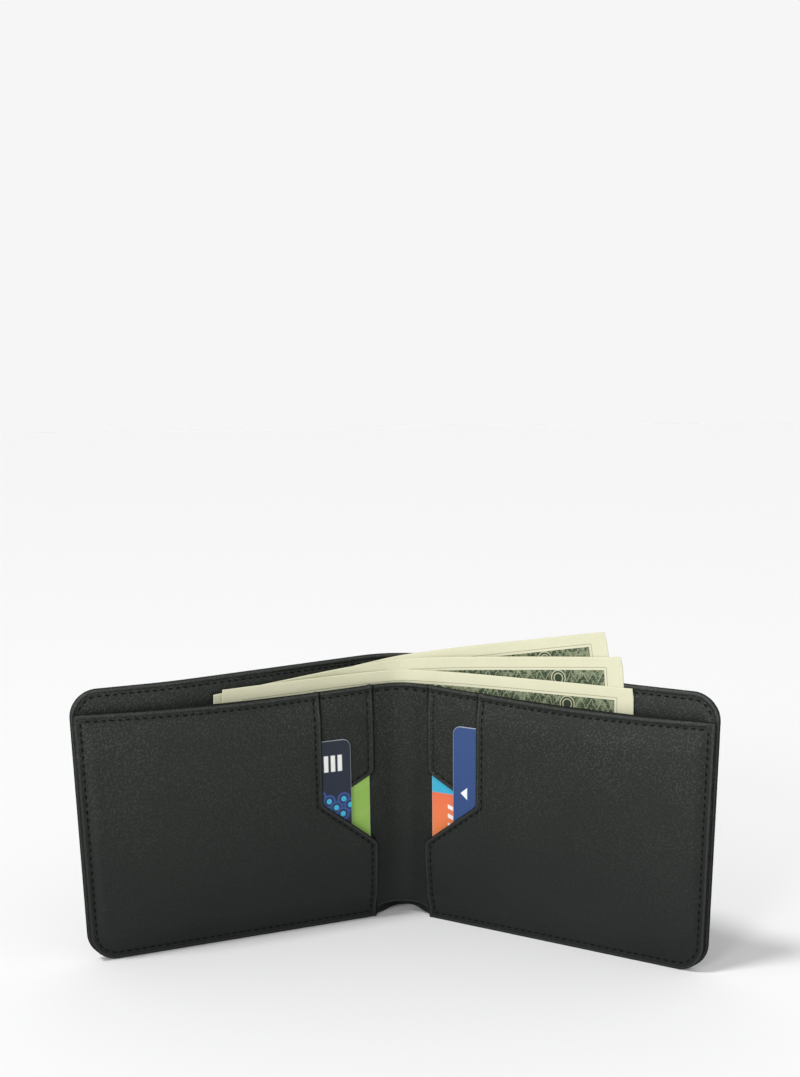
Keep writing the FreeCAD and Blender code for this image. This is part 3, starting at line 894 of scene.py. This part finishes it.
def freed(s, z):
    """How far a leaf has risen from its sewn border: 0 at the seam, 1 where the cards run."""
    border = border_distance(s, z)
    slope_end = 13.0 - 7.6 * smooth(z, 6.0, 16.0)
    return smooth(border, 2.6, slope_end) * smooth(DIVIDER_TOP - z, 1.0, 12.0)


def pocket_front(base, sewn, seams, phase, puff, points, edge, gape):
    """Front face of a pocket leaf: proud over the cards, pressed down at the sewn border."""
    def front(s, z):
        inside = freed(s, z)
        full = smooth(border_distance(s, z), 8, 40) * smooth(DIVIDER_TOP - z, 8, 34)
        bulge = puff * full * smooth(s - edge(z), 6, 36)
        hem = bead(DIVIDER_TOP - z, EDGE_BEAD) * smooth(SIDE_EDGE - s, 1.5, 4.5)
        rolled = bead(distance_to([points], s, z), 0.20, at=0.8, wide=0.5)
        return (sewn + (base - sewn) * inside - bulge + uneven(s, z, phase, 0.07) * inside
                - hem - rolled + groove(seams, s, z, 0.2) - gape(s, z))
    return front


def slant_over(points):
    """Widening of the columns beside a sloping edge, so that they keep their true distance."""
    def scale(z):
        out = np.ones_like(z)
        for (s0, z0), (s1, z1) in zip(points, points[1:]):
            factor = math.hypot(s1 - s0, z1 - z0) / abs(z1 - z0)
            inside = smooth(z, z0 - 1.5, z0 + 1.5) * (1 - smooth(z, z1 - 1.5, z1 + 1.5))
            out += (factor - 1) * inside
        return out
    return scale


FRONT_POINTS = [(CREASE, -5), (CREASE, NOTCH_LOW), (NOTCH_END, NOTCH_HIGH), (NOTCH_END, 120)]
REAR_POINTS = [(NOTCH_END, -5), (NOTCH_END, REAR_LOW), (REAR_START, REAR_TOP),
               (REAR_START, 120)]


def corner_gape(s, z):
    """The front leaf stands off the cards at the foot corner of its notch, and bulges above."""
    corner = 1.7 * bell(s, CREASE, 13.0) * smooth(z, 4.0, 27.0) * (1 - smooth(z, 33.0, 50.0))
    full = 1.1 * smooth(s - CREASE, 24, 60) * smooth(SIDE_EDGE - s, 3, 30)
    return corner + full * smooth(z, 20, 84) * smooth(z, 3, 40)


# per leaf: edge, free and sewn depth, bulge over the cards, stand-off, rise above the divider,
# phase of its waves, columns that follow the edge of the leaf before it
POCKETS = {
    "front": (FRONT_POINTS, FRONT_POCKET, SEWN_FRONT, 0.22, corner_gape, 0.18, 0.0, []),
    "rear": (REAR_POINTS, REAR_POCKET, SEWN_REAR, 0.05, level(0.0), 0.08, 1.1,
             list(np.arange(4.7, 20.0, 1.4)) + list(np.arange(20.2, 22.3, 0.3))),
}
POCKET_SEAMS = {
    "front": [perimeter_seam(), notch_offset(EDGE_TO_SEAM),
              hem_run(NOTCH_END + 1, SIDE_EDGE - SIDE_TO_SEAM)],
    "rear": [rear_offset(EDGE_TO_SEAM),
             hem_run(REAR_START, NOTCH_END + 2)],
}


def make_pocket(side, layer):
    """One pocket leaf; returns its front face, for the stitches."""
    points, base, sewn, puff, gape, rise, turn, under = POCKETS[layer]
    seams = POCKET_SEAMS[layer]
    edge = stepped_edge(points, NOTCH_ROUND)
    phase = {"left": 0.9, "right": 2.7}[side] + turn
    front = pocket_front(base, sewn, seams, phase, puff, points, edge, gape)

    def back(s, z):
        return sewn + (base - sewn) * freed(s, z) + POCKET_THICK - gape(s, z)

    # painted highlight and shade along the leaf's edges and seams; the rear leaf also gets painted
    # shadow beside the front leaf's edge
    def marks_and_shade(s, z, border):
        own = ridge_and_crease(border) + pressed(seams, s, z)
        return own if layer == "front" else own + crevice_shadow([FRONT_POINTS], s, z)

    def capped(s, d, z):
        """The folded strip of the free edge stands a little proud where it crosses the hem."""
        cap = bell(s, points[-1][0] + 1.2, 1.0) * smooth(z, DIVIDER_TOP - 3.2, DIVIDER_TOP - 0.4)
        return settled(side)(s, d - 0.24 * cap, z + 0.42 * cap)

    corners = [z + k * 0.5 for _, z in points[1:3] for k in range(-4, 5)]
    rows = rows_between(0.0, DIVIDER_TOP + rise, inside=corners,
                        high_near=EDGE_AND_SEAM + [4.4, 4.9, 5.4])
    name = layer + "_pocket_" + side
    piece = sheet(name + "_leather", side, capped, MATERIALS["inner_leather"], rows, edge,
                  inner_limit(SIDE_EDGE), (EDGE_AND_SEAM + under, EDGE_AND_SEAM), front, back,
                  round_edge=0.32, slant=slant_over(points), relief=(marks_and_shade, level(0.0)))
    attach(piece, side + "_panel")
    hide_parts(name)
    return front


# ---- stitches ----
def along(line):
    """Points and directions every stitch pitch along a polyline, starting half a pitch in."""
    points = np.array(line, float)
    reached = np.concatenate([[0], np.cumsum(np.hypot(*np.diff(points, axis=0).T))])

    def at(run):
        return np.array([np.interp(run, reached, axis) for axis in points.T])
    count = max(1, int(reached[-1] / PITCH))
    middle = (np.arange(count) + 0.5) * reached[-1] / count
    ahead = at(middle + 0.7) - at(middle - 0.7)
    return np.concatenate([at(middle), ahead / np.hypot(*ahead)])


STITCH_RINGS, STITCH_SIDES = 9, 8
STITCH_HALF, STITCH_RADIUS, STITCH_SLANT = 0.90, 0.23, 7.0


def stitch_faces():
    """Faces of one stitch: its rings joined, and a cap at each end."""
    rings = np.arange(STITCH_RINGS * STITCH_SIDES).reshape(STITCH_RINGS, STITCH_SIDES)
    ahead = np.roll(rings, -1, 1)
    walls = np.stack([rings[:-1], ahead[:-1], ahead[1:], rings[1:]], -1).reshape(-1, 4)
    return walls.tolist() + [rings[0, ::-1].tolist(), rings[-1].tolist()]


STITCH_FACES = stitch_faces()


def stitch_points(s, z, us, uz, half, level, outwards):
    """Rings round a thread that rises from the leather at (s, z) and dives back at both ends."""
    x = np.linspace(-1, 1, STITCH_RINGS)[:, None]
    turn = 2 * math.pi * np.arange(STITCH_SIDES) / STITCH_SIDES
    radius = STITCH_RADIUS * np.sqrt(np.maximum(0.02, 1 - np.abs(x) ** 3.2))
    lift = 0.16 - 0.34 * np.abs(x) ** 2.6
    across = radius * np.cos(turn)
    depth = level + outwards * (lift + radius * np.sin(turn))
    return s + us * x * half - uz * across, depth, z + uz * x * half + us * across


def stitch_seam(name, side, place, surface, lines, outwards=-1, seed=1):
    """One mesh of separate stitches lying on a face and diving into it at both ends."""
    rng = random.Random(seed)
    vertices, faces = [], []
    for line in lines:
        for s, z, ds, dz in along(line).T:
            slant = math.radians(STITCH_SLANT + rng.uniform(-3, 3))
            us = ds * math.cos(slant) - dz * math.sin(slant)
            uz = ds * math.sin(slant) + dz * math.cos(slant)
            half = STITCH_HALF * rng.uniform(0.94, 1.05)
            level = surface(np.array([s]), np.array([z]))[0]
            points = place(*stitch_points(s, z, us, uz, half, level, outwards)) * MM
            points[..., 0] *= SIGN[side]
            faces += [[len(vertices) + v for v in face] for face in STITCH_FACES]
            vertices += points.reshape(-1, 3).tolist()
    piece = make_object(name, vertices, faces, MATERIALS["thread"])
    return piece


SHELL_BACK_FACE = level(SHELL_BACK - 0.06)
SHELL_RIM_FACE = level(SHELL_FRONT - SHELL_FACING + 0.14)
DIVIDER_FACE = level(-0.10)


def make_stitches(side, front_face, rear_face):
    """Every seam of one half."""
    panel = side + "_panel"
    seed = 11 if side == "left" else 23

    def sunk_rear_face(s, z):
        """Low enough in their groove for the front card to pass over them."""
        return rear_face(s, z) + 0.2

    def ride(name, surface, lines, nodes, place=settled(side), outwards=-1, step=0):
        piece = stitch_seam(name + "_" + side, side, place, surface, lines, outwards, seed + step)
        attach(piece, panel)
        if nodes:
            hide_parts(*[n + "_" + side for n in nodes])

    notch, rear_edge = notch_offset(EDGE_TO_SEAM), rear_offset(EDGE_TO_SEAM)
    ride("perimeter_stitches", front_face, [perimeter_seam()], ["perimeter_thread"], step=1)
    ride("front_pocket_stitches", front_face, [notch], ["front_pocket_thread"], step=2)
    ride("rear_pocket_stitches", sunk_rear_face, [rear_edge[:2], rear_edge[1:]],
         ["rear_pocket_thread"], step=3)
    ride("hem_stitches_outer", front_face,
         [hem_run(NOTCH_END + 0.6, SIDE_EDGE - SIDE_TO_SEAM - 1.0)],
         ["hem_thread"], step=4)
    ride("hem_stitches_inner", rear_face,
         [hem_run(REAR_START + 0.4, NOTCH_END - 0.4)], [], step=5)

    spine_hem = stitch_seam("hem_stitches_spine_" + side, side, settled(side), DIVIDER_FACE,
                            [hem_run(0.0, REAR_START - 0.4)], seed=seed + 6)
    bend_between(spine_hem, "spine", panel, side, *DIVIDER_ZONE)
    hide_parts("hem_thread_spine")

    ride("perimeter_stitches_back", SHELL_BACK_FACE,
         [shifted(perimeter_seam(), BACK_SEAM_SHIFT)], [], place=on_shell, outwards=1, step=7)
    whole_rim = [(0.0, RIM_Z)] + rim_seam(SHELL_CREASE)
    for face, surface, outwards, step in (("inside", SHELL_RIM_FACE, -1, 8),
                                          ("outside", SHELL_BACK_FACE, 1, 9)):
        rim = stitch_seam("rim_stitches_" + face + "_" + side, side, on_shell, surface,
                          [whole_rim], outwards, seed=seed + step)
        bend_between(rim, "spine", panel, side, *SHELL_ZONE)
        if face == "inside":
            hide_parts("rim_thread_" + side, "rim_thread_spine")


# ---- cards ----
CARD_SLOTS = {("front", "left"): "card_navy", ("rear", "left"): "card_green",
              ("front", "right"): "card_blue", ("rear", "right"): "card_orange"}


def make_card(layer, side):
    """A rounded card behind its pocket leaf."""
    t0, z0 = CARDS[(layer, side)]
    wide, tall = CARD_SIZE
    depth = (FRONT_POCKET if layer == "front" else REAR_POCKET) + POCKET_THICK + CARD_PLAY
    s0 = CREASE + t0
    near = NEAR_EDGE + [2.4, 3.2]

    def inset(z):
        past = np.maximum(z0 + CARD_RADIUS - z, z - (z0 + tall - CARD_RADIUS))
        return round_cut(past, CARD_RADIUS)

    def coordinates(s, z):
        u = (s - s0) / wide
        return (1 - u if side == "left" else u), (z - z0) / tall

    slot_name = CARD_SLOTS[(layer, side)]
    piece = sheet(slot_name, side, on_divider, MATERIALS[slot_name],
                  rows_between(z0, z0 + tall, low_near=near, high_near=near),
                  lambda z: s0 + inset(z), lambda z: s0 + wide - inset(z), (near, near),
                  level(depth), level(depth + CARD_THICK), round_edge=0.14,
                  uv=coordinates)
    body = layer + "_card_" + side
    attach(piece, body)
    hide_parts(body)


# ---- banknotes ----
def make_note(name, side):
    """One half of a note, cut at the middle of the spine; a is along the note, b is up it."""
    layer, t_right, z_left, tilt = NOTES[name]
    low, high, far, share = NOTE_SPRING[name]
    wide, tall = NOTE_SIZE
    bend = (SPINE_R + layer) * FOLD
    s_right = bend + FLEX_REACH + t_right
    s_left = s_right + tall * math.sin(tilt) - wide * math.cos(tilt)
    reach = NOTE_REACH[name][SIDES.index(side)]

    def from_left(a):
        return a if side == "right" else wide - a

    def spine_cut(b):
        """Where the middle of the spine crosses the note."""
        return from_left((b * math.sin(tilt) - s_left) / math.cos(tilt))

    def end(b):
        """The end of the note, with corners worn from handling."""
        return wide + reach - 0.5 * smooth(b, tall - 5.0, tall) ** 2 - 0.4 * smooth(-b, -2.0, 0.0) ** 2

    def place(a, d, b):
        s = np.abs(s_left + from_left(a) * math.cos(tilt) - b * math.sin(tilt))
        z = z_left + from_left(a) * math.sin(tilt) + b * math.cos(tilt)
        scaled = np.where(s < bend, s * BEND / bend, s - bend + BEND)
        # the paper springs back from the divider beside the spine, as far as the shell lets it
        room = 0.03 + 0.55 * lean(np.maximum(scaled - CREASE, 0), np.minimum(z, SHELL_TOP))
        wanted = far * smooth(s, 0.0, 30.0) * smooth(z, low, high)
        return on_divider(scaled, d + share * wanted * room / (wanted + room), z)

    def coordinates(a, b):
        return (from_left(a) + PRINT_SHIFT - NOTE_REACH[name][1]) / wide, b / tall

    rows = stations(tall, [0, 0.3, 0.8, 1.6], [0, 0.3, 0.8, 1.6, 2.6, 4.0], step=2.0)
    piece = sheet("banknote_" + name + "_" + side, side, place, MATERIALS["banknote"], rows,
                  spine_cut, end, ([0.0, 0.2, 0.5] + list(np.arange(1.0, 12.0)), [0, 0.3, 1.0]),
                  level(layer), level(layer + NOTE_THICK), round_edge=0.04,
                  uv=coordinates, open_left=True)
    bend_between(piece, "note_%s_mid" % name, "note_%s_%s" % (name, side), side, *DIVIDER_ZONE)
    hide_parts("note_%s_%s" % (name, side), "note_%s_mid" % name)


# ---- camera, floor and light ----
def make_camera():
    """The camera that was solved from the wallet's own edges."""
    picture_height, focal_pixels, centre_row = 1077, 1453.24, 800.0
    place = Vector((41.23, -508.96, 208.88)) * MM
    yaw, pitch, roll = (math.radians(angle) for angle in (-4.56, 17.09, -0.761))
    camera = bpy.data.cameras.new("camera")
    camera.sensor_width = 36.0
    camera.lens = focal_pixels / picture_height * camera.sensor_width
    camera.shift_y = (centre_row - picture_height / 2) / picture_height
    camera.clip_start, camera.clip_end = 0.02, 30.0
    eye = add_object("camera", camera)
    eye.matrix_world = (Matrix.Translation(place) @ Matrix.Rotation(-yaw, 4, "Z")
                        @ Matrix.Rotation(math.pi / 2 - pitch, 4, "X")
                        @ Matrix.Rotation(roll, 4, "Z"))
    bpy.context.scene.camera = eye


def add_light(name, kind, towards, power, place=(0, 0, 0), **settings):
    """A lamp that shines from the direction of towards."""
    light = bpy.data.lights.new(name, kind)
    light.energy = power
    for key, value in settings.items():
        setattr(light, key, value)
    lamp = add_object(name, light)
    lamp.location = place
    lamp.rotation_euler = (-Vector(towards)).to_track_quat("-Z", "Y").to_euler()


def make_floor():
    bm = bmesh.new()
    bmesh.ops.create_circle(bm, cap_ends=True, radius=4.0, segments=96)
    mesh = bpy.data.meshes.new("floor")
    bm.to_mesh(mesh)
    bm.free()
    floor = add_object("floor", mesh)
    m = Shader("floor_paper")
    mesh.materials.append(m.finish(Base_Color=(0.845, 0.845, 0.845, 1), Roughness=0.9,
                                   Specular_IOR_Level=0.1))


def make_studio():
    """A pale surround that darkens overhead, a wide soft key and a small front light."""
    world = bpy.data.worlds.new("studio")
    world.use_nodes = True
    nodes, links = world.node_tree.nodes, world.node_tree.links
    split = nodes.new("ShaderNodeSeparateXYZ")
    links.new(nodes.new("ShaderNodeTexCoord").outputs["Generated"], split.inputs[0])
    fade = nodes.new("ShaderNodeMapRange")
    fade.interpolation_type = "SMOOTHSTEP"
    fade.inputs["From Min"].default_value = math.sin(math.radians(28))
    fade.inputs["From Max"].default_value = math.sin(math.radians(60))
    links.new(split.outputs[2], fade.inputs["Value"])
    blend = nodes.new("ShaderNodeMix")
    blend.data_type = "RGBA"
    blend.inputs[6].default_value = (0.921, 0.921, 0.921, 1)
    blend.inputs[7].default_value = (0.42, 0.42, 0.43, 1)
    links.new(fade.outputs[0], blend.inputs["Factor"])
    links.new(blend.outputs[2], nodes["Background"].inputs["Color"])
    scene = bpy.context.scene
    scene.world = world
    scene.view_settings.view_transform = "Standard"
    scene.view_settings.look = "None"
    add_light("key", "SUN", (-0.46, -0.22, 1.0), 1.56, angle=math.radians(11.0))
    add_light("front_box", "AREA", (-0.55, -1.25, 0.57), 4.5, (-0.55, -1.25, 0.62), shape="DISK",
              size=0.35)


make_camera()
make_floor()
make_studio()
for half in SIDES:
    make_shell(half)
    make_shell_lining(half)
    make_divider(half)
    rear_surface = make_pocket(half, "rear")
    front_surface = make_pocket(half, "front")
    make_stitches(half, front_surface, rear_surface)
    for card_layer in ("front", "rear"):
        make_card(card_layer, half)
    for note_name in NOTE_NAMES:
        make_note(note_name, half)
